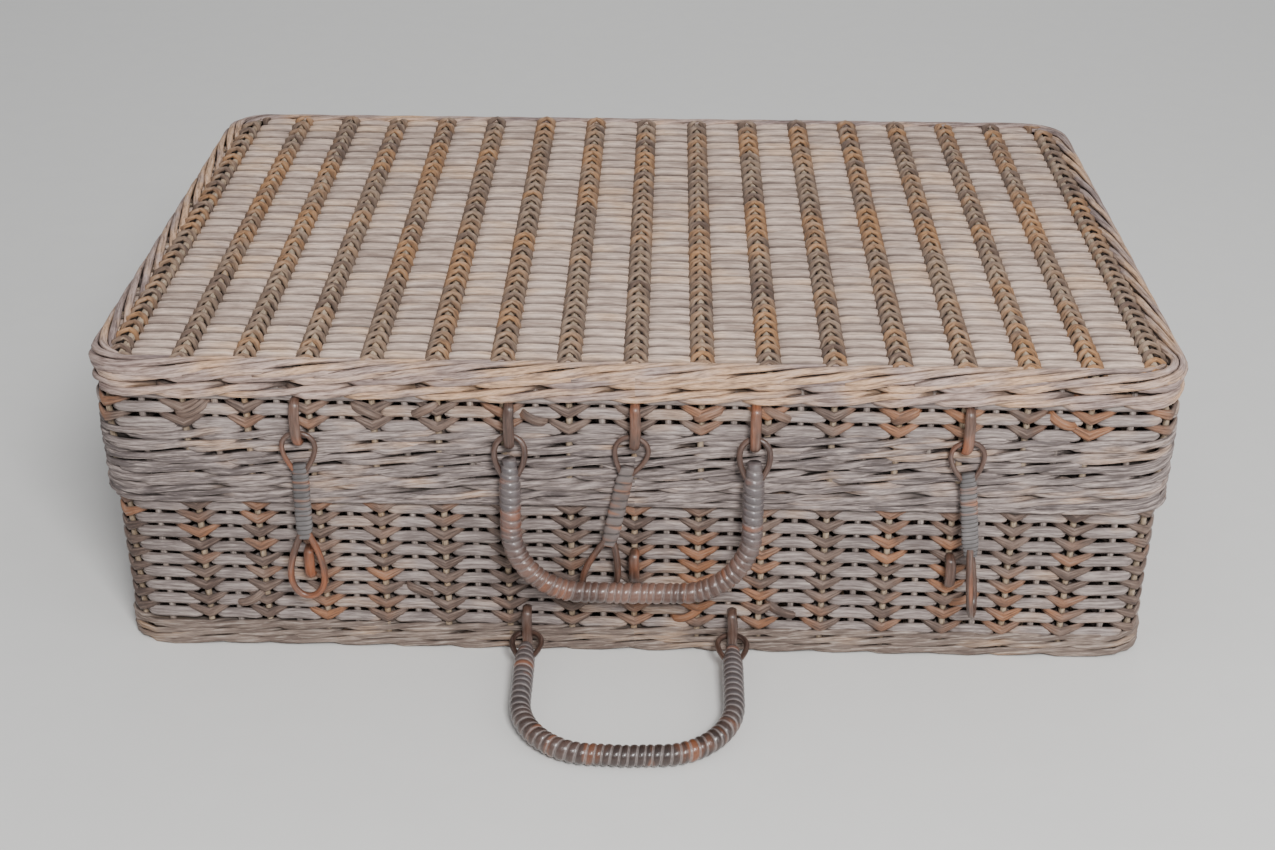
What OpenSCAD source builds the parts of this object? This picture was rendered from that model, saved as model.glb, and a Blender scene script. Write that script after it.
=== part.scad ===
// Suitcase basket woven from cane: a base tray, a lid that sits on its shoulder,
// ring hinges at the back, three hasps and two swinging handles at the front.
// Origin: middle of the underside. X runs along the length, -Y is the front, Z is up.

/* [Basket] */
// Length of the lid over its wale band
lid_length = 604; // [560:2:640]
// Depth of the lid from front to back over its wale band
lid_depth = 408; // [380:2:430]
// Height of the closed basket
basket_h = 194; // [188:1:200]
// Height of the base up to the shoulder where the lid rests
base_h = 103; // [100:1:106]
// Radius of the upright corners
corner_r = 26; // [20:1:34]

/* [Weave] */
// Thickness of the lid wall
lid_wall_t = 5.8; // [5.4:0.1:6.2]
// Thickness of the base wall
base_wall_t = 3.8; // [3.4:0.1:4.2]
// How far the base wall stands inside the lid face
base_step = 3.7; // [3.2:0.1:4.2]
// Thickness of the top and bottom panels
panel_t = 5; // [4:0.2:6]
// Distance between neighbouring main stakes at the middle of the front and back
stake_pitch = 37.2; // [36.8:0.1:37.4]
// Distance between neighbouring main stakes at the two ends
end_pitch = 34; // [33:0.1:35]
// Diameter of a main stake
stake_d = 4; // [3:0.2:4.4]
// Diameter of a thin by-stake
bystake_d = 2.6; // [2:0.2:3]

/* [Lid bands] */
// How far the rim band stands proud of the lid wall
rim_proud = 3.5; // [2.5:0.1:4]
// Height of the rim band
rim_h = 23; // [20:1:25]
// Height of the open-weave band
open_band_h = 19; // [14:1:20]
// Height of the bottom border row of the lid
lid_edge_h = 3; // [2:0.5:5]

/* [Hinge] */
// Radius of a hinge ring to the middle of its cane
hinge_ring_r = 15; // [14:0.5:16]
// Diameter of the hinge cane
hinge_cane_d = 4; // [3:0.2:4.4]
// Distance of the hinge axis behind the lid wall
hinge_back = 2; // [1.5:0.1:3]

/* [Handles] */
// Distance between the two legs of the lid handle
lid_handle_w = 138; // [124:2:146]
// Length of the lid handle from its axis to the middle of its grip
lid_handle_l = 96; // [90:1:98]
// Distance between the two legs of the base handle
base_handle_w = 122; // [112:2:130]
// Length of the base handle from its axis to the middle of its grip
base_handle_l = 102; // [92:1:106]
// Diameter of a handle over its binding
grip_d = 12.5; // [11:0.5:13]
// Diameter of a handle's core rod
core_d = 8; // [7:0.5:9]

/* [Hasps] */
// Place of the left hasp along the front
hasp_left_x = -190; // [-196:1:-184]
// Place of the right hasp along the front
hasp_right_x = 186; // [182:1:192]
// Width of a hasp's wrapped shank
shank_w = 10; // [9:0.5:11]

/* [Hidden] */
$fn = 48;

pale = "#b9a78f";
tan = "#a08468";
grey_brown = "#7d6a5c";
dark_cane = "#5c3d2a";

gap = 0.3;
cut = 1;

// plan half sizes: [half length, half depth, corner radius] of each ring's outer face
lid_out = [lid_length / 2, lid_depth / 2, corner_r];
lid_in = inset(lid_out, lid_wall_t);
rim_out = inset(lid_out, -rim_proud);
base_out = inset(lid_out, base_step);
base_in = inset(base_out, base_wall_t);
foot_out = inset(base_out, -0.7);
lip_out = inset(base_in, gap);
lip_t = 5;
lip_h = 20;
lip_top = base_h + 12;
base_stake_z = panel_t + gap;
base_stake_top = lip_top - lip_h - gap;
lid_stake_z = lip_top + cut;
lid_stake_top = basket_h - panel_t - 2 * gap;
foot_h = 16;
stake_line = inset(base_in, gap + stake_d / 2);
lid_stake_line = inset(lid_in, gap + stake_d / 2);
bystake_line = inset(base_in, gap + bystake_d / 2);
lid_bystake_line = inset(lid_in, gap + bystake_d / 2);

// stakes to each side of the middle one, along the length and along the depth
side_n = 8;
end_n = 5;
// how much closer together the stakes stand towards the corners
crowding = 0.0187;

rim_z = basket_h - rim_h;
open_z = rim_z - open_band_h;
edge_roll_h = panel_t + gap;

// hinge axis and ring places, each between two stakes
hinge_y = lid_depth / 2 + hinge_back;
hinge_slack = 0.7;
hinge_x = [along(-5.75), along(0.25), along(5.75)];

// fittings: an eye of thin cane hangs on a flat staple of split cane
front_y = -lid_depth / 2;
base_front_y = -base_out[1];
eye_axis_y = front_y - 2.6;
eye_axis_z = 150;
staple_w = 4.8;
staple_t = 3;
staple_drop = 5;
staple_rise = 18.5;
hasp_bar_off = 2.4;
grip_bar_off = 3;
leg_sink = 2.5;

grip_eye_r = 7;
grip_eye_d = 3.5;
grip_bend_r = 40;
lid_grip_x = -1.5;
lid_grip_lean = 5;
lid_grip_offset = 4.8;
base_grip_x = -2.5;
base_grip_y = -foot_out[1] - 2.4;
base_grip_z = 14;
base_grip_rest = 90 - asin((base_grip_z - grip_d / 2 - 0.1) / base_handle_l);

hasp_eye_r = 8.6;
hasp_eye_d = 3;
loop_r = 9;
loop_d = 4;
loop_straight = 18;
shank_t = 5;
shank_core_d = 3.6;
catch_bar_off = 5;
catch_z = 51;
catch_h = 22;
hasp_left_l = 105;
hasp_far_l = 110;

function inset(plan, d) = [plan[0] - d, plan[1] - d, plan[2] - d];

// place along the length of stake number k, counted from the middle
function along(k) = k * stake_pitch - crowding * pow(k, 3);

// flat shape of a rounded rectangle
module plan_shape(plan) {
  square([2 * (plan[0] - plan[2]), 2 * plan[1]], center = true);
  square([2 * plan[0], 2 * (plan[1] - plan[2])], center = true);
  for (sx = [-1, 1], sy = [-1, 1])
    translate([sx * (plan[0] - plan[2]), sy * (plan[1] - plan[2])])
      circle(plan[2]);
}

module slab(plan, z, h) {
  translate([0, 0, z])
    linear_extrude(h)
      plan_shape(plan);
}

// closed band of weave, t thick, whose outer face follows the plan
module band(plan, t, z, h) {
  difference() {
    slab(plan, z, h);
    slab(inset(plan, t), z - cut, h + 2 * cut);
  }
}

// how far the line of stakes lies from the middle at a place along the length,
// following the round corners
function line_y(line, x) =
  let (past = abs(x) - (line[0] - line[2]))
  past <= 0 ? line[1] : line[1] - line[2] + sqrt(pow(line[2], 2) - pow(past, 2));

// numbers of the stakes of a wall; by-stakes stand halfway between main stakes
function numbers(n, halfway) = [for (i = [-n : halfway ? n - 1 : n]) i + (halfway ? 0.5 : 0)];

module long_row(line, side, halfway, d, z0, z1) {
  color(grey_brown)
    for (k = numbers(side_n, halfway))
      translate([along(k), side * line_y(line, along(k)), z0])
        cylinder(d = d, h = z1 - z0);
}

module end_row(line, side, halfway, d, z0, z1) {
  color(grey_brown)
    for (k = numbers(end_n, halfway))
      translate([side * line[0], k * end_pitch, z0])
        cylinder(d = d, h = z1 - z0);
}

module all_bystakes(line, z0, z1) {
  for (side = [-1, 1]) {
    long_row(line, side, true, bystake_d, z0, z1);
    end_row(line, side, true, bystake_d, z0, z1);
  }
}

module ring(r, d) {
  rotate_extrude()
    translate([r, 0])
      circle(d = d);
}

module hinge_ring(x, d) {
  translate([x, hinge_y, base_h])
    rotate([0, 90, 0])
      ring(hinge_ring_r, d);
}

// U-shaped staple of split cane: bar stands off the wall, both ends turn back into it
module staple(x, wall_y, bar_y, z0, h) {
  color(dark_cane)
    translate([x - staple_w / 2, 0, z0]) {
      translate([0, bar_y - staple_t, 0])
        cube([staple_w, staple_t, h]);
      for (z = [0, h - staple_t])
        translate([0, bar_y - cut / 2, z])
          cube([staple_w, wall_y + leg_sink - bar_y + cut / 2, staple_t]);
    }
}

module lid_staple(x, bar_off) {
  z0 = eye_axis_z - staple_drop - staple_t;
  staple(x, front_y, eye_axis_y - bar_off, z0, staple_drop + staple_t + staple_rise);
}

module hasp_catch(x) {
  staple(x, base_front_y, base_front_y - catch_bar_off, catch_z, catch_h);
}

module base_grip_staple(side) {
  z0 = base_grip_z - staple_drop - staple_t;
  staple(base_grip_x + side * base_handle_w / 2, -foot_out[1], base_grip_y - grip_bar_off,
         z0, staple_drop + staple_t + staple_rise);
}

// bent rod in the XZ plane, hanging from z = top: two legs, two bends and a grip
module bent_rod(w, l, top, d, over = 0) {
  for (side = [-1, 1]) {
    translate([side * w / 2, 0, -l + grip_bend_r])
      cylinder(d = d, h = l - grip_bend_r - top + over);
    translate([side * (w / 2 - grip_bend_r), 0, -l + grip_bend_r])
      rotate([90, side > 0 ? 90 : 180, 0])
        rotate_extrude(angle = 90)
          translate([grip_bend_r, 0])
            circle(d = d);
  }
  translate([-w / 2 + grip_bend_r, 0, -l])
    rotate([0, 90, 0])
      cylinder(d = d, h = w - 2 * grip_bend_r);
}

// place of the leg's top below the axis, where the eye meets it
function leg_top(offset) = sqrt(pow(2 * grip_eye_r, 2) - pow(offset, 2));

module grip_plane(offset, lean) {
  translate([0, -offset, -leg_top(offset)])
    rotate([-lean, 0, 0])
      translate([0, 0, leg_top(offset)])
        children();
}

module grip_core(w, l, offset, lean) {
  color(tan) {
    grip_plane(offset, lean)
      bent_rod(w, l, leg_top(offset) - 1, core_d);
    for (side = [-1, 1])
      translate([side * w / 2, 0, 0])
        rotate([-asin(offset / (2 * grip_eye_r)), 0, 0])
          translate([0, 0, -grip_eye_r])
            rotate([90, 0, 0])
              ring(grip_eye_r, grip_eye_d);
  }
}

module grip_binding(w, l, offset, lean) {
  color(dark_cane)
    grip_plane(offset, lean)
      difference() {
        bent_rod(w, l, leg_top(offset) + 3, grip_d);
        bent_rod(w, l, leg_top(offset) + 3, core_d + 0.1, cut);
      }
}

module at_lid_grip() {
  translate([lid_grip_x, eye_axis_y, eye_axis_z])
    children();
}

module at_base_grip() {
  translate([base_grip_x, base_grip_y, base_grip_z])
    rotate([-base_grip_rest, 0, 0])
      children();
}

// hasp hanging from its axis: lean swings it out, tilt leans it along the wall
module at_hasp(x, lean, tilt) {
  translate([x, eye_axis_y, eye_axis_z])
    rotate([-lean, 0, 0])
      rotate([0, -tilt, 0])
        children();
}

module hasp_loop() {
  for (side = [-1, 1])
    translate([side * loop_r, 0, -loop_straight / 2])
      cylinder(d = loop_d, h = loop_straight);
  for (end = [-1, 1])
    translate([0, 0, end * loop_straight / 2])
      rotate([90, end > 0 ? 0 : 180, 0])
        rotate_extrude(angle = 180)
          translate([loop_r, 0])
            circle(d = loop_d);
}

module hasp_cane(l, twist) {
  loop_mid = -l + loop_r + loop_straight / 2;
  loop_top = loop_mid + loop_r + loop_straight / 2;
  color(dark_cane) {
    translate([0, 0, -hasp_eye_r])
      rotate([90, 0, 0])
        ring(hasp_eye_r, hasp_eye_d);
    translate([0, 0, loop_top])
      cylinder(d = shank_core_d, h = -2 * hasp_eye_r - loop_top);
    translate([0, 0, loop_mid])
      rotate([0, 0, twist])
        hasp_loop();
  }
}

// wrapped shank: a flat-sided sleeve round the cane
module hasp_binding(l) {
  bottom = -l + 2 * loop_r + loop_straight + loop_d / 2 + gap;
  top = -2 * hasp_eye_r - hasp_eye_d / 2 - gap;
  color(grey_brown)
    translate([0, 0, bottom])
      difference() {
        linear_extrude(top - bottom) {
          square([shank_w - shank_t, shank_t], center = true);
          for (side = [-1, 1])
            translate([side * (shank_w - shank_t) / 2, 0])
              circle(d = shank_t);
        }
        translate([0, 0, -cut])
          cylinder(d = shank_core_d + 0.1, h = top - bottom + 2 * cut);
      }
}

module at_left() { at_hasp(hasp_left_x, 4.2, 0) children(); }
module at_middle() { at_hasp(0, 1.5, -12) children(); }
module at_right() { at_hasp(hasp_right_x, 5, 6) children(); }

module base_bottom_weave() { color(pale) slab(inset(base_in, gap), 0, panel_t); }
// sticks lying front to back, clear of the wall stakes at both ends
module lying_sticks(halfway, d, line, z) {
  color(grey_brown)
    for (k = numbers(side_n, halfway)) {
      reach = line_y(line, along(k)) - stake_d / 2 - gap;
      translate([along(k), -reach, z])
        rotate([-90, 0, 0])
          cylinder(d = d, h = 2 * reach);
    }
}
module base_bottom_sticks() {
  lying_sticks(false, stake_d, stake_line, panel_t + gap + stake_d / 2);
}
module base_foot_border() { color(tan) band(foot_out, base_wall_t + 0.7, 0, foot_h); }
module base_wall_weave() {
  color(grey_brown) band(base_out, base_wall_t, foot_h, base_h - foot_h);
}
module base_rim_border() { color(tan) band(lip_out, lip_t, lip_top - lip_h, lip_h); }
module base_front_stakes() { long_row(stake_line, -1, false, stake_d, base_stake_z, base_stake_top); }
module base_back_stakes() { long_row(stake_line, 1, false, stake_d, base_stake_z, base_stake_top); }
module base_left_stakes() { end_row(stake_line, -1, false, stake_d, base_stake_z, base_stake_top); }
module base_right_stakes() { end_row(stake_line, 1, false, stake_d, base_stake_z, base_stake_top); }
module base_bystakes() { all_bystakes(bystake_line, base_stake_z, base_stake_top); }
module hinge_ring_left() { color(dark_cane) hinge_ring(hinge_x[0], hinge_cane_d); }
module hinge_ring_middle() { color(dark_cane) hinge_ring(hinge_x[1], hinge_cane_d); }
module hinge_ring_right() { color(dark_cane) hinge_ring(hinge_x[2], hinge_cane_d); }
module base_handle_staple_left() { base_grip_staple(-1); }
module base_handle_staple_right() { base_grip_staple(1); }
module hasp_catch_left() { hasp_catch(hasp_left_x); }
module hasp_catch_middle() { hasp_catch(0); }
module hasp_catch_right() { hasp_catch(hasp_right_x - 2); }

module lid_top_weave() { color(pale) slab(inset(lid_out, gap), basket_h - panel_t, panel_t); }
module lid_top_stakes() {
  lying_sticks(false, stake_d, lid_stake_line, basket_h - panel_t - gap - stake_d / 2);
}
module lid_top_bystakes() {
  lying_sticks(true, bystake_d, lid_stake_line, basket_h - panel_t - gap - bystake_d / 2);
}
module lid_edge_border() {
  color(pale) band(rim_out, rim_proud, basket_h - edge_roll_h, edge_roll_h);
}
module lid_rim_band() {
  color(tan) band(rim_out, rim_proud + lid_wall_t, rim_z, rim_h - edge_roll_h);
}
module lid_open_band() { color(grey_brown) band(lid_out, lid_wall_t, open_z, open_band_h); }
module lid_wale_band() {
  z = base_h + lid_edge_h;
  color(grey_brown)
    difference() {
      band(lid_out, lid_wall_t, z, open_z - z);
      for (x = hinge_x)
        hinge_ring(x, hinge_cane_d + 2 * hinge_slack);
    }
}
module lid_bottom_border() { color(tan) band(lid_out, lid_wall_t, base_h, lid_edge_h); }
module lid_front_stakes() { long_row(lid_stake_line, -1, false, stake_d, lid_stake_z, lid_stake_top); }
module lid_back_stakes() { long_row(lid_stake_line, 1, false, stake_d, lid_stake_z, lid_stake_top); }
module lid_left_stakes() { end_row(lid_stake_line, -1, false, stake_d, lid_stake_z, lid_stake_top); }
module lid_right_stakes() { end_row(lid_stake_line, 1, false, stake_d, lid_stake_z, lid_stake_top); }
module lid_bystakes() { all_bystakes(lid_bystake_line, lid_stake_z, lid_stake_top); }
module lid_handle_staple_left() { lid_staple(lid_grip_x - lid_handle_w / 2, grip_bar_off); }
module lid_handle_staple_right() { lid_staple(lid_grip_x + lid_handle_w / 2, grip_bar_off); }
module hasp_hanger_left() { lid_staple(hasp_left_x, hasp_bar_off); }
module hasp_hanger_middle() { lid_staple(0, hasp_bar_off); }
module hasp_hanger_right() { lid_staple(hasp_right_x, hasp_bar_off); }

module lid_handle_core() {
  at_lid_grip() grip_core(lid_handle_w, lid_handle_l, lid_grip_offset, lid_grip_lean);
}
module lid_handle_binding() {
  at_lid_grip() grip_binding(lid_handle_w, lid_handle_l, lid_grip_offset, lid_grip_lean);
}
module base_handle_core() { at_base_grip() grip_core(base_handle_w, base_handle_l, 0, 0); }
module base_handle_binding() { at_base_grip() grip_binding(base_handle_w, base_handle_l, 0, 0); }
module hasp_left_cane() { at_left() hasp_cane(hasp_left_l, 0); }
module hasp_left_binding() { at_left() hasp_binding(hasp_left_l); }
module hasp_middle_cane() { at_middle() hasp_cane(hasp_far_l, 0); }
module hasp_middle_binding() { at_middle() hasp_binding(hasp_far_l); }
module hasp_right_cane() { at_right() hasp_cane(hasp_far_l, 75); }
module hasp_right_binding() { at_right() hasp_binding(hasp_far_l); }

base_bottom_weave();
base_bottom_sticks();
base_foot_border();
base_wall_weave();
base_rim_border();
base_front_stakes();
base_back_stakes();
base_left_stakes();
base_right_stakes();
base_bystakes();
hinge_ring_left();
hinge_ring_middle();
hinge_ring_right();
base_handle_staple_left();
base_handle_staple_right();
hasp_catch_left();
hasp_catch_middle();
hasp_catch_right();
lid_top_weave();
lid_top_stakes();
lid_top_bystakes();
lid_edge_border();
lid_rim_band();
lid_open_band();
lid_wale_band();
lid_bottom_border();
lid_front_stakes();
lid_back_stakes();
lid_left_stakes();
lid_right_stakes();
lid_bystakes();
lid_handle_staple_left();
lid_handle_staple_right();
hasp_hanger_left();
hasp_hanger_middle();
hasp_hanger_right();
lid_handle_core();
lid_handle_binding();
base_handle_core();
base_handle_binding();
hasp_left_cane();
hasp_left_binding();
hasp_middle_cane();
hasp_middle_binding();
hasp_right_cane();
hasp_right_binding();
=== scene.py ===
import math

import bpy
import numpy as np
from mathutils import Matrix, Vector


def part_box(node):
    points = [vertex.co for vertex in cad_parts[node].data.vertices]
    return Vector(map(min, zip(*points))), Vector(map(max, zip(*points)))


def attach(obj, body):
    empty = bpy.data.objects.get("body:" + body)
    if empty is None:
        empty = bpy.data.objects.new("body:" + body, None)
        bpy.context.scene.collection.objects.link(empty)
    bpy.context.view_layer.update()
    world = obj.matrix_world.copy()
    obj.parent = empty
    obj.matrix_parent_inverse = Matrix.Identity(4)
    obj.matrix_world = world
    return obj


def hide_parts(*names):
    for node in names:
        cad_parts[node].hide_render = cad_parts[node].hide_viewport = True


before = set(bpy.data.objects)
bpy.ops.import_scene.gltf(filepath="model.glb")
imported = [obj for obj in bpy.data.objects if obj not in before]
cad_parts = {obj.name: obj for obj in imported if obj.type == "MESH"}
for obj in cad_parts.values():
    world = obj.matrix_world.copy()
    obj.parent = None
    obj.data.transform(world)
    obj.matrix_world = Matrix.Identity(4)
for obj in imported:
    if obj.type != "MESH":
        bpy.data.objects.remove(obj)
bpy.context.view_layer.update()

# Shapes are worked out in millimetres and go into the meshes in metres.
toMetres = 0.001


def boxOf(node):
    # lowest and highest corner of a CAD node, in millimetres
    low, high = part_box(node)
    return np.array(low) / toMetres, np.array(high) / toMetres


def ease(value, low, high):
    # 0 below low, 1 above high, and 3t^2 - 2t^3 in between
    t = np.clip((value - low) / (high - low), 0, 1)
    return t * t * (3 - 2 * t)


basket = {
    "corner": 26,        # radius of the lid's upright corners
    "pitch": 37.2,       # between main stakes at the middle of the front
    "crowding": 0.0187,  # how much closer together they stand towards the corners
    "endPitch": 34,      # between main stakes of the two ends
    "cornerLine": 17,    # radius of the line of stakes round a corner
    "sideStakes": 8,     # on each side of the middle one
    "endStakes": 5,
}

belly = {"from": 258, "full": 300, "rim": 3.5, "wall": 3.5, "low": 160, "high": 176}

wallLow, wallHigh = boxOf("lid_wale_band")
corner = basket["corner"]
coreX, coreY = wallHigh[0] - corner, wallHigh[1] - corner
arc = corner * math.pi / 2
ringBreaks = np.cumsum([0, coreX, arc, 2 * coreY, arc, 2 * coreX, arc, 2 * coreY, arc, coreX])
ringTurns = np.array([0, 0, 1, 1, 2, 2, 3, 3, 4, 4]) * math.pi / 2
ringCoreX = coreX * np.array([0, 1, 1, 1, 1, -1, -1, -1, -1, 0])
ringCoreY = coreY * np.array([-1, -1, -1, 1, 1, 1, 1, -1, -1, -1])
ringRound = ringBreaks[-1]


def along(k):
    # place along the length of stake k, counted from the middle: k pitch - crowding k^3
    return k * basket["pitch"] - basket["crowding"] * k**3


def stakeSpots():
    # distance along the ring of every main stake, anticlockwise from the middle of the front
    x = along(np.arange(basket["sideStakes"] + 1))
    past = np.clip((x - coreX) / basket["cornerLine"], 0, 1)
    front = np.minimum(x, coreX) + corner * np.arcsin(past)
    end = basket["endPitch"] * np.arange(-basket["endStakes"], basket["endStakes"] + 1)
    rightMiddle = coreX + arc + coreY
    back = ringRound / 2 + np.concatenate([-front[::-1], front[1:]])
    return np.concatenate([front, rightMiddle + end, back, ringRound - rightMiddle + end,
                           ringRound - front[:0:-1], [ringRound]])


spots = stakeSpots()
stakeCount = len(spots) - 1
ringPitch = ringRound / stakeCount


def bellied(points):
    # the soft ends belly out between the borders: x grows by rim + wall (1 - ease z) near the ends
    x, z = points[..., 0], points[..., 2]
    push = ease(np.abs(x), belly["from"], belly["full"]) \
        * (belly["rim"] + belly["wall"] * (1 - ease(z, belly["low"], belly["high"])))
    return points + np.stack([np.sign(x) * push, 0 * x, 0 * x], -1)


def onRing(phase, out, z):
    # the point past phase stakes: the core rectangle's point + (corner radius + out) times the
    # outward normal, at height z, pushed out at the ends; gives the points and the normals
    phase, out, z = np.broadcast_arrays(phase, out, z)
    s = np.interp(phase % stakeCount, np.arange(stakeCount + 1), spots)
    turn = np.interp(s, ringBreaks, ringTurns)
    normal = np.stack([np.sin(turn), -np.cos(turn), np.zeros_like(turn)], -1)
    core = np.stack([np.interp(s, ringBreaks, ringCoreX), np.interp(s, ringBreaks, ringCoreY), z], -1)
    return bellied(core + (corner + out)[..., None] * normal), normal


def fromStake(phase):
    # distance in millimetres from the nearest main stake
    return np.abs(phase - np.round(phase)) * ringPitch


def perPitch(shares, first, last):
    # the same places within every pitch, from stake number first to stake number last
    return (np.arange(first, last)[:, None] + np.array(shares)).ravel()


def uneven(rng, rows, share, size, slowest=2, fastest=15, waves=5):
    # handwork: for each row a sum of sines with whole numbers of cycles, size millimetres high;
    # share runs from 0 to 1 along the row
    cycles = rng.integers(slowest, fastest, (rows, 1, waves))
    starts = rng.uniform(0, 2 * math.pi, (rows, 1, waves))
    return size * np.sin(2 * math.pi * cycles * share[:, None] + starts).sum(-1) / math.sqrt(waves)


def roundProfile(width, thick, count=8):
    # ellipse: half the width times cos t across, half the thickness times sin t outwards
    t = np.arange(count) * 2 * math.pi / count
    return np.stack([width / 2 * np.cos(t), thick / 2 * np.sin(t)], -1)


def splitProfile(width, thick, ridges, shares, edge=0.3, dip=0.25):
    # split cane lying flat side down: its top is edge + (1 - edge) sin^0.7(pi t) (1 - dip cos^8(pi r t)),
    # with r ridges
    t = np.array(shares)
    crown = np.clip(np.sin(math.pi * t), 0, 1) ** 0.7 * (1 - dip * np.cos(math.pi * ridges * t) ** 8)
    across = np.concatenate([[-0.44, 0.44], 0.5 - t]) * width
    return np.stack([across, np.concatenate([[0, 0], thick * (edge + (1 - edge) * crown)])], -1)


def unit(vectors):
    # each vector divided by its length
    return vectors / np.maximum(np.linalg.norm(vectors, axis=-1, keepdims=True), 1e-9)


def spread(values, shape):
    # one value, one for each strand, or one for each strand and step, on every point of the grid
    values = np.asarray(values, float)
    return np.broadcast_to(values.reshape(values.shape + (1,) * (3 - values.ndim)), shape)


def strands(rng, points, facing, profile, girth=1.0, closed=False, tint=0.5, shadeAndGrime=0.0, crease=0.75):
    # a profile carried along each row of points: point + across * side + out * face, where
    # side = facing x direction and face = direction x side. Painted shade, with some grime, gathers low
    # on the profile: the given value becomes 1 - (1 - value) (1 - crease * lowness). Returns the grid with
    # its map.
    count, steps = points.shape[:2]
    if closed:
        direction = np.roll(points, -1, 1) - np.roll(points, 1, 1)
    else:
        direction = np.gradient(points, axis=1)
    direction = unit(direction)
    side = unit(np.cross(facing, direction))
    face = np.cross(direction, side)
    shape = profile * np.broadcast_to(girth, (count, steps))[..., None, None]
    grid = (points[:, :, None] + shape[..., :1] * side[:, :, None] + shape[..., 1:] * face[:, :, None])
    m = profile.shape[-2]
    lengths = np.linalg.norm(np.diff(points, axis=1, append=points[:, :1]), axis=-1)
    u = np.concatenate([np.zeros((count, 1)), np.cumsum(lengths, 1)], 1) / 100
    flat = profile.reshape(-1, m, 2)[0]
    rim = np.linalg.norm(np.diff(flat, axis=0, append=flat[:1]), axis=-1)
    v = np.concatenate([[0], np.cumsum(rim)]) / 100
    u = u + rng.uniform(0, 40, (count, 1))
    tall = (flat[:, 1] - flat[:, 1].min()) / np.ptp(flat[:, 1])
    # painted shade low on each strand's profile, joined with the painted shade and grime given per point
    shadeAndDirt = 1 - (1 - spread(shadeAndGrime, grid.shape[:3])) * (1 - crease * (1 - ease(tall, 0.3, 0.9)))
    return {"grid": grid, "u": u, "v": v, "closed": closed,
            "tint": spread(tint, grid.shape[:3]), "shadeAndGrime": shadeAndDirt}


def facesOf(part):
    # quads between neighbouring rings, and one many-sided cap at each end of an open strand
    count, steps, m = part["grid"].shape[:3]
    index = np.arange(count * steps * m).reshape(count, steps, m)
    here, after = (index, np.roll(index, -1, 1)) if part["closed"] else (index[:, :-1], index[:, 1:])
    quads = np.stack([here, np.roll(here, -1, 2), np.roll(after, -1, 2), after], -1)
    n = here.shape[1]
    u, v = part["u"], part["v"]
    u0 = np.broadcast_to(u[:, :n, None], (count, n, m))
    u1 = np.broadcast_to(u[:, 1:n + 1, None], (count, n, m))
    v0, v1 = np.broadcast_to(v[:-1], (count, n, m)), np.broadcast_to(v[1:], (count, n, m))
    maps = np.stack([np.stack([u0, v0], -1), np.stack([u0, v1], -1),
                     np.stack([u1, v1], -1), np.stack([u1, v0], -1)], -2)
    corners, uvs, sizes = [quads.reshape(-1)], [maps.reshape(-1, 2)], [np.full(quads.size // 4, 4)]
    if not part["closed"]:
        caps = np.concatenate([index[:, 0, ::-1], index[:, -1]])
        ends = np.concatenate([u[:, 0], u[:, steps - 1]])
        capMaps = np.stack(np.broadcast_arrays(ends[:, None], v[:-1]), -1)
        corners.append(caps.reshape(-1))
        uvs.append(capMaps.reshape(-1, 2))
        sizes.append(np.full(len(caps), m))
    return np.concatenate(corners), np.concatenate(uvs), np.concatenate(sizes)


def makePiece(name, body, slot, finish, replaced, *parts):
    # joins strand grids into one mesh in metres, with its map, its tint values and the values that paint
    # shade, with some grime, into its colour
    corners, uvs, sizes, start = [], [], [], 0
    for part in parts:
        found, maps, counts = facesOf(part)
        corners.append(found + start)
        uvs.append(maps)
        sizes.append(counts)
        start += part["grid"][..., 0].size
    corners, uvs, sizes = np.concatenate(corners), np.concatenate(uvs), np.concatenate(sizes)
    places = np.concatenate([part["grid"].reshape(-1, 3) for part in parts]) * toMetres
    mesh = bpy.data.meshes.new(name)
    mesh.vertices.add(len(places))
    mesh.vertices.foreach_set("co", places.astype(np.float32).ravel())
    mesh.loops.add(len(corners))
    mesh.loops.foreach_set("vertex_index", corners.astype(np.int32))
    mesh.polygons.add(len(sizes))
    mesh.polygons.foreach_set("loop_start", (np.cumsum(sizes) - sizes).astype(np.int32))
    mesh.update(calc_edges=True)
    mesh.uv_layers.new(name="strandMap").data.foreach_set("uv", uvs.astype(np.float32).ravel())
    # the second attribute holds painted shade with some grime
    for key in ("tint", "shadeAndGrime"):
        values = np.concatenate([part[key].ravel() for part in parts])
        mesh.attributes.new(key, "FLOAT", "POINT").data.foreach_set("value", values.astype(np.float32))
    mesh.shade_smooth()
    mesh.materials.append(finish)
    piece = bpy.data.objects.new(name, mesh)
    bpy.context.scene.collection.objects.link(piece)
    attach(piece, body)
    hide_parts(*replaced)
    print(f"{name}: {int((sizes - 2).sum())} triangles")


def rgb(red, green, blue):
    # display colour from 0 to 255 as the linear light that shaders work in
    share = np.array([red, green, blue]) / 255
    linear = np.where(share <= 0.04045, share / 12.92, ((share + 0.055) / 1.055) ** 2.4)
    return (*linear, 1)


class Value:
    # a shader socket that takes part in Python arithmetic by adding Math nodes
    def __init__(self, shader, socket):
        self.shader, self.socket = shader, socket

    def math(self, operation, first, second):
        return self.shader.node("ShaderNodeMath", {"operation": operation}, (first, second))

    def __add__(self, other):
        return self.math("ADD", self, other)

    def __mul__(self, other):
        return self.math("MULTIPLY", self, other)

    def __rsub__(self, other):
        return self.math("SUBTRACT", other, self)

    __radd__ = __add__
    __rmul__ = __mul__

    def between(self, low, high):
        # 0 at low, 1 at high, clipped outside
        return self.shader.node("ShaderNodeMapRange", {"clamp": True}, {0: self, 1: low, 2: high}, 0)


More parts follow.
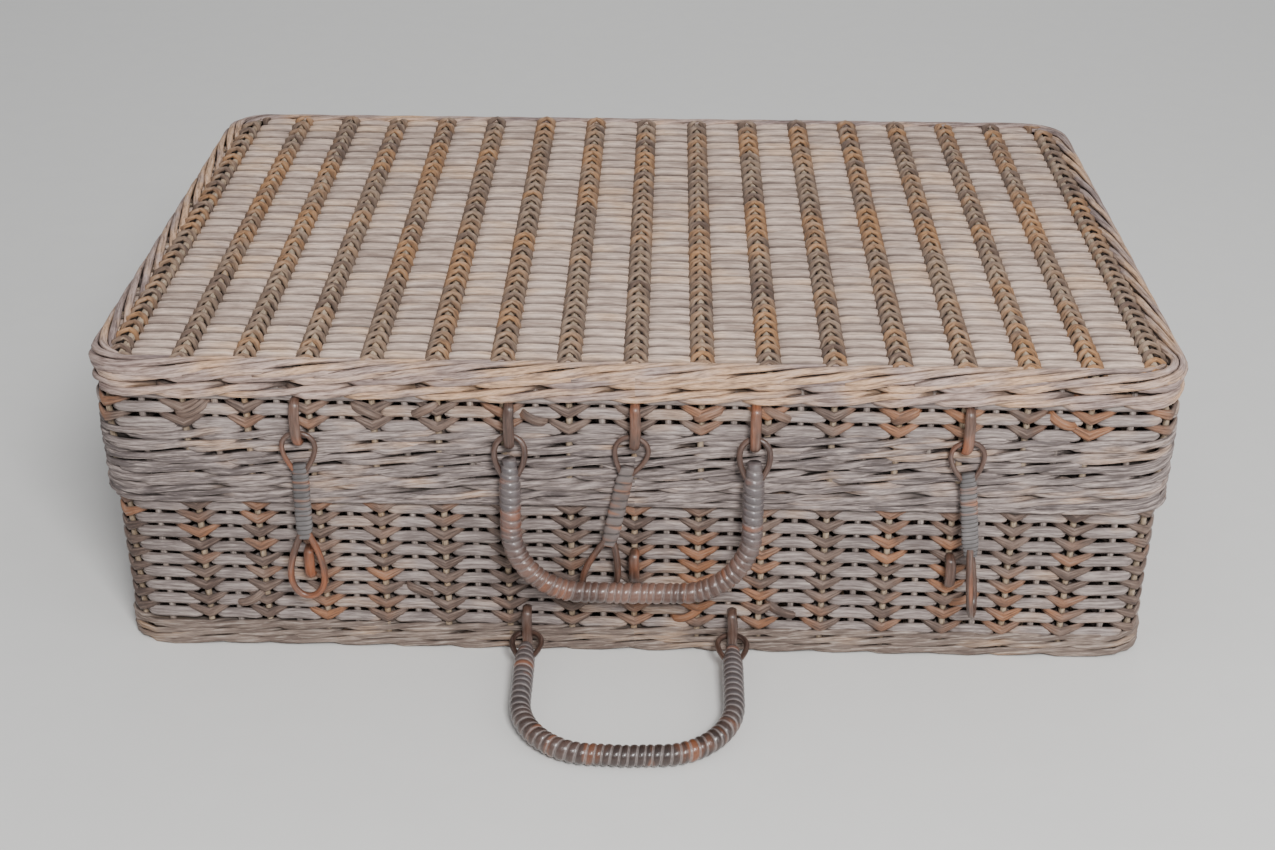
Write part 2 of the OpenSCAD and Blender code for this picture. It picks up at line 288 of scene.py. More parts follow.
class Finish:
    # a material whose nodes all come from one method
    def __init__(self, name):
        self.material = bpy.data.materials.new(name)
        self.material.use_nodes = True
        self.tree = self.material.node_tree
        self.tree.nodes.clear()

    def node(self, kind, settings=None, inputs=(), output=0):
        made = self.tree.nodes.new(kind)
        for key, value in (settings or {}).items():
            setattr(made, key, value)
        for key, value in (inputs.items() if isinstance(inputs, dict) else enumerate(inputs)):
            if isinstance(value, Value):
                self.tree.links.new(value.socket, made.inputs[key])
            else:
                made.inputs[key].default_value = value
        return Value(self, made.outputs[output]) if made.outputs else None

    def attribute(self, name):
        return self.node("ShaderNodeAttribute", {"attribute_name": name}, output=2)

    def scaled(self, vector, factors):
        return self.node("ShaderNodeVectorMath", {"operation": "MULTIPLY"}, (vector, factors))

    def noise(self, vector, scale, detail=2.0, rough=0.5):
        inputs = {"Vector": vector, "Scale": scale, "Detail": detail, "Roughness": rough}
        return self.node("ShaderNodeTexNoise", {}, inputs)

    def mix(self, factor, first, second):
        return self.node("ShaderNodeMix", {"data_type": "RGBA"}, {0: factor, 6: first, 7: second}, 2)

    def finished(self, colour, roughness, height, depth, coat=0.0):
        bump = self.node("ShaderNodeBump", {}, {"Strength": 1.0, "Distance": depth, "Height": height})
        inputs = {"Base Color": colour, "Roughness": roughness, "Normal": bump,
                  "Coat Weight": coat, "Coat Roughness": 0.2}
        surface = self.node("ShaderNodeBsdfPrincipled", {}, inputs)
        self.node("ShaderNodeOutputMaterial", {}, {"Surface": surface})
        return self.material


def caneFinish(name, look):
    # old cane: its colour wanders between two shades in soft patches and from strand to strand,
    # streaks run along it, and painted shade with some dirt lies deep in the weave
    f = Finish(name)
    strand = f.node("ShaderNodeUVMap", {"uv_map": "strandMap"})
    place = f.node("ShaderNodeTexCoord", output=3)
    tint, shadeAndGrime = f.attribute("tint"), f.attribute("shadeAndGrime")
    streaks = f.noise(f.scaled(strand, look["streak"]), 1, 3, 0.65)
    fibres = f.noise(f.scaled(strand, look["fibre"]), 1, 2, 0.6)
    bands = f.noise(f.scaled(strand, look["band"]), 1, 2)
    patches = f.noise(place, look["patchScale"], 3)
    shade = patches.between(0.35, 0.65) * 0.25 + bands.between(0.3, 0.7) * 0.35 + tint * 0.4
    colour = f.mix(shade.between(0.25, 0.75), look["one"], look["two"])
    odd = f.noise(place, look["oddScale"], 2) * 0.5 + bands * 0.35 + tint * 0.15
    odd = odd.between(look["oddFrom"], look["oddFrom"] + 0.1)
    colour = f.mix(odd * look["oddShare"], colour, look["odd"])
    colour = f.mix(streaks.between(0.48, 0.68) * look["streakShare"], colour, look["dark"])
    colour = f.mix((1 - streaks).between(0.51, 0.68) * look["lightShare"], colour, look["light"])
    colour = f.mix(fibres.between(0.46, 0.75) * look["fibreShare"], colour, look["dark"])
    # painted shade, with some dirt, darkens the recesses of the weave and the low sides of strands
    colour = f.mix(shadeAndGrime.between(0.1, 1) * look["shadeAndGrimeShare"], colour, look["shadeAndDirt"])
    rough = streaks * 0.25 + look["rough"]
    height = streaks + fibres * 0.6 + f.noise(place, 700, 2) * 0.3
    return f.finished(colour, rough, height, look["relief"], coat=look["coat"])


weathered = {
    "streak": (6, 75, 1), "fibre": (20, 260, 1), "band": (3, 8, 1), "patchScale": 9.0, "oddScale": 18.0,
    "one": rgb(140, 126, 118), "two": rgb(178, 164, 152), "odd": rgb(176, 140, 108),
    "oddFrom": 0.53, "oddShare": 0.6, "dark": rgb(88, 76, 70), "light": rgb(208, 194, 182),
    # the dark recess colour and its share below paint shade, with some dirt, into the weave
    "streakShare": 0.8, "lightShare": 0.55, "fibreShare": 0.4, "shadeAndDirt": rgb(48, 40, 35), "shadeAndGrimeShare": 0.8,
    "rough": 0.6, "relief": 0.0006, "coat": 0.0,
}
# below, each finish's recess colour and its share paint shade, with some dirt, into the weave
panelCane = caneFinish("weathered_split_cane", weathered | {
    "one": rgb(182, 158, 144), "two": rgb(236, 208, 190), "streakShare": 0.6, "odd": rgb(224, 182, 142),
    "light": rgb(248, 228, 210), "dark": rgb(120, 100, 91), "shadeAndDirt": rgb(58, 50, 47), "shadeAndGrimeShare": 0.85})
veeCane = caneFinish("brown_vee_cane", weathered | {
    "one": rgb(84, 66, 58), "two": rgb(128, 106, 94), "odd": rgb(164, 104, 60), "oddFrom": 0.5,
    "oddShare": 0.75, "dark": rgb(56, 44, 39), "light": rgb(158, 136, 122), "oddScale": 14.0,
    "band": (1.5, 2, 1), "rough": 0.48, "shadeAndDirt": rgb(72, 62, 57)})
wallCane = caneFinish("grey_wall_cane", weathered | {
    "one": rgb(124, 112, 109), "two": rgb(172, 157, 152), "odd": rgb(184, 146, 114), "oddFrom": 0.53,
    "shadeAndDirt": rgb(66, 57, 53), "fibreShare": 0.55})
waleCane = caneFinish("grey_twisted_cane", weathered | {
    "one": rgb(102, 92, 91), "two": rgb(170, 154, 148), "odd": rgb(194, 156, 126), "oddFrom": 0.53,
    "oddShare": 0.7, "light": rgb(208, 190, 181), "dark": rgb(76, 66, 62), "fibreShare": 0.6,
    "streakShare": 1.0, "lightShare": 0.7})
footCane = caneFinish("brown_foot_cane", weathered | {
    "one": rgb(108, 91, 82), "two": rgb(162, 142, 129), "odd": rgb(180, 142, 108), "oddShare": 0.7})
rimCane = caneFinish("tan_border_cane", weathered | {
    "one": rgb(143, 124, 120), "two": rgb(213, 183, 168), "odd": rgb(224, 178, 134), "oddFrom": 0.49,
    "oddShare": 0.8, "dark": rgb(82, 65, 60), "light": rgb(214, 192, 182), "streakShare": 0.9,
    "fibreShare": 0.65})
brownCane = caneFinish("brown_crossing_cane", weathered | {
    "one": rgb(114, 91, 77), "two": rgb(164, 137, 114), "odd": rgb(190, 133, 76), "oddFrom": 0.48,
    "oddShare": 0.75, "dark": rgb(74, 56, 47), "light": rgb(200, 172, 146), "oddScale": 14.0,
    "band": (1.5, 2, 1), "rough": 0.48})
stakeCane = caneFinish("pale_stake_cane", weathered | {
    "one": rgb(160, 138, 114), "two": rgb(194, 172, 146), "odd": rgb(170, 130, 90), "lightShare": 0.3,
    "streakShare": 0.5, "shadeAndGrimeShare": 0.3})
byStakeCane = caneFinish("grey_stake_cane", weathered | {
    "one": rgb(122, 110, 105), "two": rgb(156, 142, 135), "oddShare": 0.3, "streakShare": 0.5,
    "shadeAndGrimeShare": 0.3})
darkCane = caneFinish("dark_fitting_cane", weathered | {
    "one": rgb(62, 43, 36), "two": rgb(106, 76, 62), "odd": rgb(160, 88, 44), "dark": rgb(34, 26, 24),
    "light": rgb(146, 128, 120), "rough": 0.3, "coat": 0.4, "relief": 0.0003,
    "streakShare": 0.5, "lightShare": 0.3, "shadeAndGrimeShare": 0.4, "oddShare": 0.75})
print("finishes ready")


panel = {
    "rows": 34,            # rows of split cane from front to back
    "widening": 0.01,      # how much each row is wider than the one before it, as a logarithm
    "flatShare": 0.92,     # width of a flat pair in its row
    "flatThick": 3.8,
    "crossShare": 0.42,    # width of a brown crossing strand in its row
    "crossThick": 1.8,
    "bend": 1.4,           # roundness of a crossing's tip
    "chevron": 10.6,       # how far a crossing's arms come forward
    "chevronReach": 6.8,   # from the stake to where an arm tucks in
    "stake": 4.8,
    "byStake": 2.6,
    "sunk": 1.4,           # flat strands lie this far below the top of the border
    "waviness": 0.5,
    "cornerRadius": 24,
    "straight": 268,       # rows keep their stake places up to here, and are fitted to the corners past it
}


def rowEdges(depth):
    # edges of the rows from front to back, each row wider than the last by the same factor
    steps = np.exp(panel["widening"] * np.arange(panel["rows"]))
    edges = np.concatenate([[0], np.cumsum(steps)])
    return (edges / edges[-1] * 2 - 1) * depth


def panelPoint(x, y, z, length, depth):
    # rows past the straight part are fitted to the panel's round corners
    radius = panel["cornerRadius"]
    past = np.clip((np.abs(y) - (depth - radius)) / radius, 0, 1)
    limit = length - radius + radius * np.sqrt(1 - past**2)
    start = panel["straight"]
    fitted = start + (np.abs(x) - start) * (limit - start) / (length - start)
    x = np.where(np.abs(x) > start, np.sign(x) * fitted, x)
    return bellied(np.stack(np.broadcast_arrays(x, y, z), -1))


def weavePanel(rng, length, depth, level, up, shares, flatShares, crossShares):
    # flat pairs pass over the by-stakes and under the main stakes; crossings do the opposite and
    # bend into a chevron over each main stake. up is 1 for the lid and -1 for the bottom.
    rows = panel["rows"]
    edges = rowEdges(depth)
    middle, width = (edges[1:] + edges[:-1]) / 2, np.diff(edges)
    k = perPitch(shares, -basket["sideStakes"] - 1, basket["sideStakes"] + 1)
    x = along(k)
    keep = np.abs(x) < length - 3
    x = np.concatenate([[-length + 1], x[keep], [length - 1]])
    k = np.concatenate([[k[keep][0] - 0.2], k[keep], [k[keep][-1] + 0.2]])
    near = np.abs(k - np.round(k)) * basket["pitch"]
    near = np.where(np.abs(k) > basket["sideStakes"] + 0.5, basket["pitch"] / 2, near)
    share = (x + length) / (2 * length)
    wave = uneven(rng, 1, share, panel["waviness"], 1, 4, 3) + uneven(rng, rows, share, 0.18)
    edge = ease(np.abs(x), length - 9, length) * 2.5
    low = level - up * (panel["stake"] + panel["flatThick"] + 0.6)
    stakeTop = level - up * 0.2
    flatHigh = level - up * panel["flatThick"]
    over = ease(near, 5.2, 9)
    flatZ = low + (flatHigh - low) * over + up * (wave - edge)
    flatY = middle[:, None] + uneven(rng, rows, share, 0.35)
    flatPath = panelPoint(x, flatY, flatZ, length, depth)
    facing = np.broadcast_to(np.array([0, 0, up]), flatPath.shape)
    flatProfile = splitProfile(1, panel["flatThick"], 2, flatShares, 0.1, 0.22)
    widths = (width * panel["flatShare"])[:, None] * (1 + uneven(rng, rows, share, 0.02))
    grow = np.ones((rows, len(x), 1, 2))
    grow[..., 0, 0] = widths * (0.8 + 0.2 * over)
    tint = np.clip(rng.normal(0.5, 0.22, (rows, 1)) + uneven(rng, rows, share, 0.12, 3, 17), 0, 1)
    # painted shade where the flats dive under the main stakes, and low on their profile
    flats = strands(rng, flatPath, facing, flatProfile * grow, tint=tint,
                    shadeAndGrime=(1 - ease(near, 6, 9.5))[None], crease=1.0)

    hide = ease(near, 4.8, 8.8)
    cover = level + up * 0.2
    crossZ = cover - up * panel["crossThick"] * 0.5 + (low - cover) * hide + up * wave
    arm = np.minimum((np.hypot(near, panel["bend"]) - panel["bend"]) / panel["chevronReach"], 1.1)
    crossY = middle[:, None] + width[:, None] / 11 * panel["chevron"] * (0.42 - arm) \
        + ease(near, 10, 17) * width[:, None] * 0.3
    crossY = crossY + uneven(rng, rows, share, 0.3, 5, 19)
    crossPath = panelPoint(x, crossY, crossZ, length - 1, depth)
    crossProfile = splitProfile(1, panel["crossThick"], 2, crossShares, 0.4, 0.1)
    grow = np.ones((rows, len(x), 1, 2))
    grow[..., 0, 0] = (width * panel["crossShare"])[:, None] * (1.2 - 0.72 * np.clip(arm, 0, 1))
    stakeNumber = np.round(k).astype(int) + basket["sideStakes"] + 1
    perStake = rng.normal(0.5, 0.2, (rows, stakeNumber.max() + 1))
    tint = np.clip(perStake[:, stakeNumber], 0, 1)
    # painted shade on the crossings' arms where they tuck under the weave
    crosses = strands(rng, crossPath, facing, crossProfile * grow, tint=tint,
                      shadeAndGrime=ease(near, 2.8, 7)[None])
    stakesZ = stakeTop - up * panel["stake"] / 2
    byStakesZ = stakeTop - up * (panel["byStake"] / 2 + 2.6)
    return flats, crosses, stakesZ, byStakesZ


def lyingRods(rng, k, z, diameter, depth, inner, count=14):
    # rods from front to back at stake numbers k; each ends inside the round corners
    x = along(k)
    past = np.clip(np.abs(x) - coreX, 0, inner - 1)
    reach = depth - inner + np.sqrt(inner**2 - past**2)
    t = np.linspace(-1, 1, count)
    bend = uneven(rng, len(k), (t + 1) / 2, 0.3, 1, 4, 3)
    path = np.stack([x[:, None] + bend, reach[:, None] * t, np.full((len(k), count), z)], -1)
    facing = np.broadcast_to(np.array([0, 0, 1.0]), path.shape)
    tint = np.clip(rng.normal(0.5, 0.25, len(k)), 0, 1)
    return strands(rng, path, facing, roundProfile(diameter, diameter), tint=tint)


mainNumbers = np.arange(-basket["sideStakes"], basket["sideStakes"] + 1)
byNumbers = mainNumbers[:-1] + 0.5
fineShares = [0, 0.06, 0.12, 0.18, 0.24, 0.32, 0.5, 0.68, 0.76, 0.82, 0.88, 0.94]
pairShares = [0, 0.07, 0.25, 0.43, 0.5, 0.57, 0.75, 0.93, 1]
plainShares = [0, 0.12, 0.35, 0.5, 0.65, 0.88, 1]

topHigh = boxOf("lid_top_weave")[1]
rng = np.random.default_rng(21)
level = topHigh[2] - panel["sunk"]
flats, crosses, stakesZ, byStakesZ = weavePanel(
    rng, topHigh[0] - 2, topHigh[1] - 1, level, 1, fineShares, pairShares, plainShares)
makePiece("lid_top_flats", "lid", "panel_weave", panelCane, ["lid_top_weave"], flats)
makePiece("lid_top_crossings", "lid", "panel_weave", brownCane, ["lid_top_weave"], crosses)
makePiece("lid_top_main_stakes", "lid", "stakes", stakeCane, ["lid_top_stakes"],
          lyingRods(rng, mainNumbers, stakesZ, panel["stake"], topHigh[1] - 4, 22))
makePiece("lid_top_by_stakes", "lid", "stakes", byStakeCane, ["lid_top_bystakes"],
          lyingRods(rng, byNumbers, byStakesZ, panel["byStake"], topHigh[1] - 4, 22))

bottomHigh = boxOf("base_bottom_weave")[1]
coarseShares = [0, 0.1, 0.2, 0.32, 0.5, 0.68, 0.8, 0.9]
rng = np.random.default_rng(22)
flats, crosses, stakesZ, byStakesZ = weavePanel(
    rng, bottomHigh[0], bottomHigh[1], 0.9, -1, coarseShares, plainShares, [0, 0.25, 0.5, 0.75, 1])
makePiece("base_bottom_flats", "base", "panel_weave", wallCane, ["base_bottom_weave"], flats)
makePiece("base_bottom_crossings", "base", "panel_weave", brownCane, ["base_bottom_weave"], crosses)
makePiece("base_bottom_rods", "base", "stakes", stakeCane, ["base_bottom_sticks"],
          lyingRods(rng, mainNumbers, stakesZ, panel["stake"], bottomHigh[1] - 4, 17),
          lyingRods(rng, byNumbers, byStakesZ, panel["byStake"], bottomHigh[1] - 4, 17))


wall = {
    "flatWidth": 7.5,     # height of a flat pair
    "flatThick": 2.3,
    "veeWidth": 5.8,
    "veeThick": 2.1,
    "veeTip": 0.9,        # a vee's point stands this far above its row
    "veeRise": 4.6,       # and its arms rise by this much more
    "veeReach": 8.8,
    "stake": 4.0,
    "byStake": 4.0,
    "stakeBack": 3.4,     # middle of a main stake behind the wall's outer face
    "byStakeBack": 3.9,
    "behind": 8.4,        # inner side of a strand that passes behind a stake
    "rows": 9,            # of the base
    "firstRow": 6.5,      # from the top of the base's weave to the middle of its first row
    "rowPitch": 9.65,
    "sag": 0.00011,       # how much wider apart the base's rows are for each millimetre to the right
    "rods": (5.5, 100),   # lowest and highest point of the base's stakes
}


def outOf(node):
    # how far a band's outer face stands outside the ring
    return boxOf(node)[1][0] - wallHigh[0]


def sagged(points, top, sag):
    # rows spread from top downwards towards the right: z = top + (z - top) (1 + sag x)
    z = top + (points[..., 2] - top) * (1 + sag * points[..., 0])
    return np.concatenate([points[..., :2], z[..., None]], -1)


def openWeave(rng, rows, face, top=0.0, sag=0.0):
    # two strands in each row: the flat pair passes in front of the by-stakes and behind the main
    # stakes, the other does the opposite and hangs in a vee in front of each main stake
    rows = np.asarray(rows, float)
    phase = perPitch([0, 0.09, 0.16, 0.22, 0.3, 0.4, 0.5, 0.6, 0.7, 0.78, 0.84, 0.91], 0, stakeCount)
    near = fromStake(phase)
    share = phase / stakeCount
    front, back = face - wall["flatThick"], face - wall["behind"]
    show = ease(near, 2.4, 6.6)
    out = back + (front - back) * show + uneven(rng, len(rows), share, 0.18, 4, 40)
    bow = 0.5 * np.cos(np.clip(near / ringPitch * 2 * math.pi, 0, math.pi))
    z = rows[:, None] - bow + uneven(rng, len(rows), share, 0.3, 3, 40)
    points, normal = onRing(phase, out, z)
    tint = np.clip(rng.normal(0.5, 0.2, (len(rows), 1)) + uneven(rng, len(rows), share, 0.16, 4, 60), 0, 1)
    shape = splitProfile(wall["flatWidth"], wall["flatThick"], 2, pairShares, 0.25, 0.3)
    girth = (0.82 + 0.18 * show) * (1 + uneven(rng, len(rows), share, 0.04, 4, 60))
    # painted shade where the flat pairs pass behind the main stakes
    shadeAndGrime = (1 - ease(near, 2, 5.5))[None]
    flats = strands(rng, sagged(points, top, sag), normal, shape, girth, True, tint, shadeAndGrime)

    shares = [0, 0.05, 0.1, 0.16, 0.23, 0.3, 0.36, 0.43, 0.5, 0.57, 0.64, 0.7, 0.77, 0.84, 0.9, 0.95]
    phase = perPitch(shares, 0, stakeCount)
    near = fromStake(phase)
    share = phase / stakeCount
    front = face - wall["veeThick"] + 0.8
    hide = ease(near, 8.8, 13.2)
    out = front + (back - front) * hide
    arm = np.minimum(near / wall["veeReach"], 1)
    z = rows[:, None] + wall["veeTip"] + wall["veeRise"] * arm**1.05
    z = z - ease(near, 13, 17.5) * wall["veeRise"]
    stakeOf = np.round(phase).astype(int) % stakeCount
    shift = rng.normal(0, 0.35, (len(rows), stakeCount))[:, stakeOf]
    points, normal = onRing(phase, out, z + shift * (1 - hide))
    tint = np.clip(rng.normal(0.5, 0.25, (len(rows), stakeCount))[:, stakeOf], 0, 1)
    shape = splitProfile(wall["veeWidth"], wall["veeThick"], 2, plainShares, 0.4, 0.1)
    girth = 1.14 - 0.44 * arm
    # painted shade where the vees pass behind the stakes
    shadeAndGrime = ease(near, 7.5, 12.5)[None]
    vees = strands(rng, sagged(points, top, sag), normal, shape, girth, True, tint, shadeAndGrime)
    return flats, vees


def waleRows(rng, rows, front, back, rise, width, thick, perStake=5, twist=3):
    # each row has three strands, each in front of two stakes and behind one:
    # out = back + (front - back) * ease(cos t) and z = row + rise * sin t, where t makes one turn
    # in about twist stakes and starts a third of a turn later for the next strand
    rows = np.repeat(np.asarray(rows, float), 3)
    count = len(rows)
    phase = perPitch(np.arange(perStake) / perStake, 0, stakeCount)
    share = phase / stakeCount
    turns = round(stakeCount / twist)
    start = np.arange(count) * 2 * math.pi / 3 + np.repeat(rng.uniform(0, 2 * math.pi, count // 3), 3)
    t = 2 * math.pi * turns * share + start[:, None] + uneven(rng, count, share, 0.22, 3, 30)
    show = ease(np.cos(t), -0.85, 0.1)
    back = np.repeat(np.broadcast_to(back, count // 3), 3)[:, None]
    out = back + (front - back) * show + 0.35 * np.cos(t) + uneven(rng, count, share, 0.2, 5, 60)
    sway = np.repeat(uneven(rng, count // 3, share, 0.35, 2, 12), 3, 0)
    z = rows[:, None] + rise * np.sin(t) + sway + uneven(rng, count, share, 0.34, 20, 90)
    points, normal = onRing(phase, out, z)
    tint = np.clip(rng.normal(0.5, 0.25, (count, 1)) + uneven(rng, count, share, 0.2, 4, 50), 0, 1)
    girth = rng.normal(1, 0.06, (count, 1)) + uneven(rng, count, share, 0.07, 6, 70)
    # painted shade where each strand lies back behind a stake
    return strands(rng, points, normal, roundProfile(width, thick), girth, True, tint, 1 - show)


def rowPlaces(low, high, count):
    # middles of count equal rows between two heights
    return low + (np.arange(count) + 0.5) * (high - low) / count


def standingRods(rng, numbers, face, setBack, diameter, low, high, shadedUpTo=0.0, count=15):
    # upright rods past these numbers of stakes round the ring, darkened with painted shade below a height
    t = np.linspace(0, 1, count)
    sway = uneven(rng, len(numbers), t, 0.25, 1, 4, 3)
    points, normal = onRing(np.asarray(numbers, float)[:, None] + sway / ringPitch,
                            face - setBack + 0 * sway, low + (high - low) * t)
    tint = np.clip(rng.normal(0.5, 0.25, len(numbers)), 0, 1)
    sharpness = 2.2   # values above 1 count as 1, so the painted shade ends more suddenly
    shadeAndGrime = (1 - ease(points[..., 2], shadedUpTo - 1, shadedUpTo + 5)) * sharpness
    return strands(rng, points, normal, roundProfile(diameter, diameter), tint=tint, shadeAndGrime=shadeAndGrime)


side, end = basket["sideStakes"], 2 * basket["endStakes"] + 1
groups = {
    "front": np.arange(-side, side + 1) % stakeCount,
    "right": side + 1 + np.arange(end),
    "back": side + 1 + end + np.arange(2 * side + 1),
    "left": 3 * side + 2 + end + np.arange(end),
}

rng = np.random.default_rng(31)
baseFace = outOf("base_wall_weave")
baseHigh = boxOf("base_wall_weave")[1]
baseRows = baseHigh[2] - wall["firstRow"] - wall["rowPitch"] * np.arange(wall["rows"])
flats, vees = openWeave(rng, baseRows, baseFace, baseHigh[2] - 3, wall["sag"])
makePiece("base_wall_flats", "base", "wall_weave", wallCane, ["base_wall_weave"], flats)
makePiece("base_wall_vees", "base", "wall_weave", veeCane, ["base_wall_weave"], vees)
for group, numbers in groups.items():
    makePiece(f"base_{group}_main_stakes", "base", "stakes", stakeCane, [f"base_{group}_stakes"],
              standingRods(rng, numbers, baseFace, wall["stakeBack"], wall["stake"], *wall["rods"]))
halfway = np.arange(stakeCount) + 0.5
makePiece("base_by_stakes", "base", "stakes", byStakeCane, ["base_bystakes"],
          standingRods(rng, halfway, baseFace, wall["byStakeBack"], wall["byStake"], *wall["rods"]))

footLow, footHigh = boxOf("base_foot_border")
footFace = outOf("base_foot_border")
makePiece("base_foot_wale", "base", "border_cane", footCane, ["base_foot_border"],
          waleRows(rng, rowPlaces(0.7, footHigh[2] + 0.5, 3), footFace - 1.6, footFace - 6.5,
                   1.5, 4.2, 3.1, 4, 3))

lipLow, lipHigh = boxOf("base_rim_border")
lipFace = outOf("base_rim_border")
makePiece("base_lip_wale", "base", "border_cane", rimCane, ["base_rim_border"],
          waleRows(rng, rowPlaces(lipLow[2], lipHigh[2] - 2.4, 2), lipFace - 1.6, lipFace - 4.2,
                   2.2, 4.2, 2.6, 4, 3),
          waleRows(rng, [lipHigh[2] - 2.2], lipFace - 1.7, lipFace - 3.8, 0.7, 3.0, 2.6, 4, 2))
print("base woven")

rng = np.random.default_rng(32)
openHigh = boxOf("lid_open_band")[1]
flats, vees = openWeave(rng, openHigh[2] - [-1.0, 8.6, 18.2], 0)
makePiece("lid_open_flats", "lid", "wall_weave", wallCane, ["lid_open_band"], flats)
makePiece("lid_open_vees", "lid", "wall_weave", veeCane, ["lid_open_band"], vees)
waleLow, waleHigh = wallLow[2], wallHigh[2]
lipTop = lipHigh[2] + 2
waleHeights = rowPlaces(waleLow - 1, waleHigh - 1.5, 6)
makePiece("lid_wale", "lid", "wall_weave", waleCane, ["lid_wale_band"],
          waleRows(rng, waleHeights, -1.7, np.where(waleHeights < lipTop + 4, -4.3, -8), 2.2, 4.7, 3.4, 6))
borderLow = boxOf("lid_bottom_border")[0]
makePiece("lid_bottom_rope", "lid", "border_cane", waleCane, ["lid_bottom_border"],
          waleRows(rng, [borderLow[2] + 1.1], -1.3, -4.2, 0.6, 3.2, 2.8, 5, 2))
# the lid's stakes get painted shade below the top of the wale band, where they pass behind it
for group, numbers in groups.items():
    makePiece(f"lid_{group}_main_stakes", "lid", "stakes", stakeCane, [f"lid_{group}_stakes"],
              standingRods(rng, numbers, 0, wall["stakeBack"], wall["stake"], lipTop + 1, 190, waleHigh))
makePiece("lid_by_stakes", "lid", "stakes", byStakeCane, ["lid_bystakes"],
          standingRods(rng, halfway, 0, wall["byStakeBack"], wall["byStake"], lipTop + 1, 190, waleHigh))

rimLow, rimHigh = boxOf("lid_rim_band")
rimFace = outOf("lid_rim_band")
makePiece("lid_rim_wale", "lid", "border_cane", rimCane, ["lid_rim_band"],
          waleRows(rng, rowPlaces(rimLow[2] + 0.6, rimHigh[2] + 1.2, 2), rimFace - 1.9, rimFace - 7.5,
                   2.6, 4.9, 3.6, 6))

topRoll = {
    "length": 3.3,    # stakes that a border end runs past
    "past": 0.45,     # how far past its stake it ends
    "wide": 6.2,      # half the roll's width
    "tall": 5.6,
    "inward": 3.4,    # from the rim's face of the lid to the middle of the roll
    "from": -12,      # angles of its outer and inner ends round the roll
    "to": 150,
    "width": 4.6,
    "thick": 3.0,
}


def rolledBorder(rng, top):
    # one end for each stake. It climbs slowly over the edge as it runs along: out = middle + wide cos a
    # and z = middle + tall sin a, with the angle a growing from the outer to the inner end
    t = np.linspace(0, 1, 19)
    phase = np.arange(stakeCount)[:, None] + topRoll["past"] - topRoll["length"] * (1 - t)
    phase = phase + rng.normal(0, 0.05, (stakeCount, 1))
    climb = t + uneven(rng, stakeCount, t, 0.02, 1, 4, 3)
    a = np.radians(topRoll["from"] + (topRoll["to"] - topRoll["from"]) * climb)
    out = topRoll["wide"] * np.cos(a) - topRoll["inward"]
    z = top - topRoll["thick"] / 2 + topRoll["tall"] * (np.sin(a) - 1)
    points, normal = onRing(phase, out, z)
    facing = normal * (np.cos(a) / topRoll["wide"])[..., None]
    facing = unit(facing + np.array([0, 0, 1.0]) * (np.sin(a) / topRoll["tall"])[..., None])
    tint = np.clip(rng.normal(0.6, 0.25, stakeCount), 0, 1)
    girth = 0.55 + 0.45 * ease(np.minimum(t, 1 - t), 0, 0.12)
    return strands(rng, points, facing, roundProfile(topRoll["width"], topRoll["thick"]), girth, tint=tint)


makePiece("lid_top_border", "lid", "border_cane", rimCane, ["lid_edge_border"],
          rolledBorder(rng, boxOf("lid_edge_border")[1][2]))


def looseEnds(rng, count, low, high):
    # stake numbers, heights and rises of ends scattered along the front and the back, with every
    # second one falling instead of rising
    k = np.linspace(-6, 6, count) + rng.uniform(-0.9, 0.9, (2, count)) + [[0], [stakeCount / 2]]
    z = rng.uniform(low, high, (2, count))
    rise = rng.uniform(7, 9, (2, count)) * (1 - 2 * (np.arange(count) % 2))
    return np.stack([k, z, rise]).reshape(3, -1, 1)


def tuckedEnds(rng, ends, face):
    # loose ends of strands, each tucked in slantwise over the weave: they rise by lean over their
    # length and stand out from the wall by sin(pi t)^0.4
    k, z, lean = ends
    t = np.linspace(0, 1, 9)
    length = rng.uniform(15, 21, k.shape)
    bow = rng.uniform(-2, 2, k.shape) * np.sin(math.pi * t)
    out = face - 5.5 + 5.2 * np.sin(math.pi * t) ** 0.4
    points, normal = onRing(k + (t - 0.5) * length / ringPitch, out, z + lean * (t - 0.5) + bow)
    shape = splitProfile(5.8, 1.8, 2, plainShares, 0.4, 0.1)
    return strands(rng, points, normal, shape, tint=rng.uniform(0, 0.7, len(k)))


makePiece("lid_tucked_ends", "lid", "wall_weave", veeCane, ["lid_open_band"],
          tuckedEnds(rng, looseEnds(rng, 8, 160, 164), 0.6))
makePiece("base_tucked_ends", "base", "wall_weave", veeCane, ["base_wall_weave"],
          tuckedEnds(rng, looseEnds(rng, 5, 24, 50), baseFace + 0.6))
print("lid woven")


def turned(points, swing, tilt=0.0):
    # points leaned out by swing degrees about X, after a lean of tilt degrees along the wall
    a, b = math.radians(-swing), math.radians(-tilt)
    x, y, z = points[..., 0], points[..., 1], points[..., 2]
    x, z = x * math.cos(b) + z * math.sin(b), -x * math.sin(b) + z * math.cos(b)
    y, z = y * math.cos(a) - z * math.sin(a), y * math.sin(a) + z * math.cos(a)
    return np.stack([x, y, z], -1)


stapleCane = {"width": 6.2, "thick": 2.6}


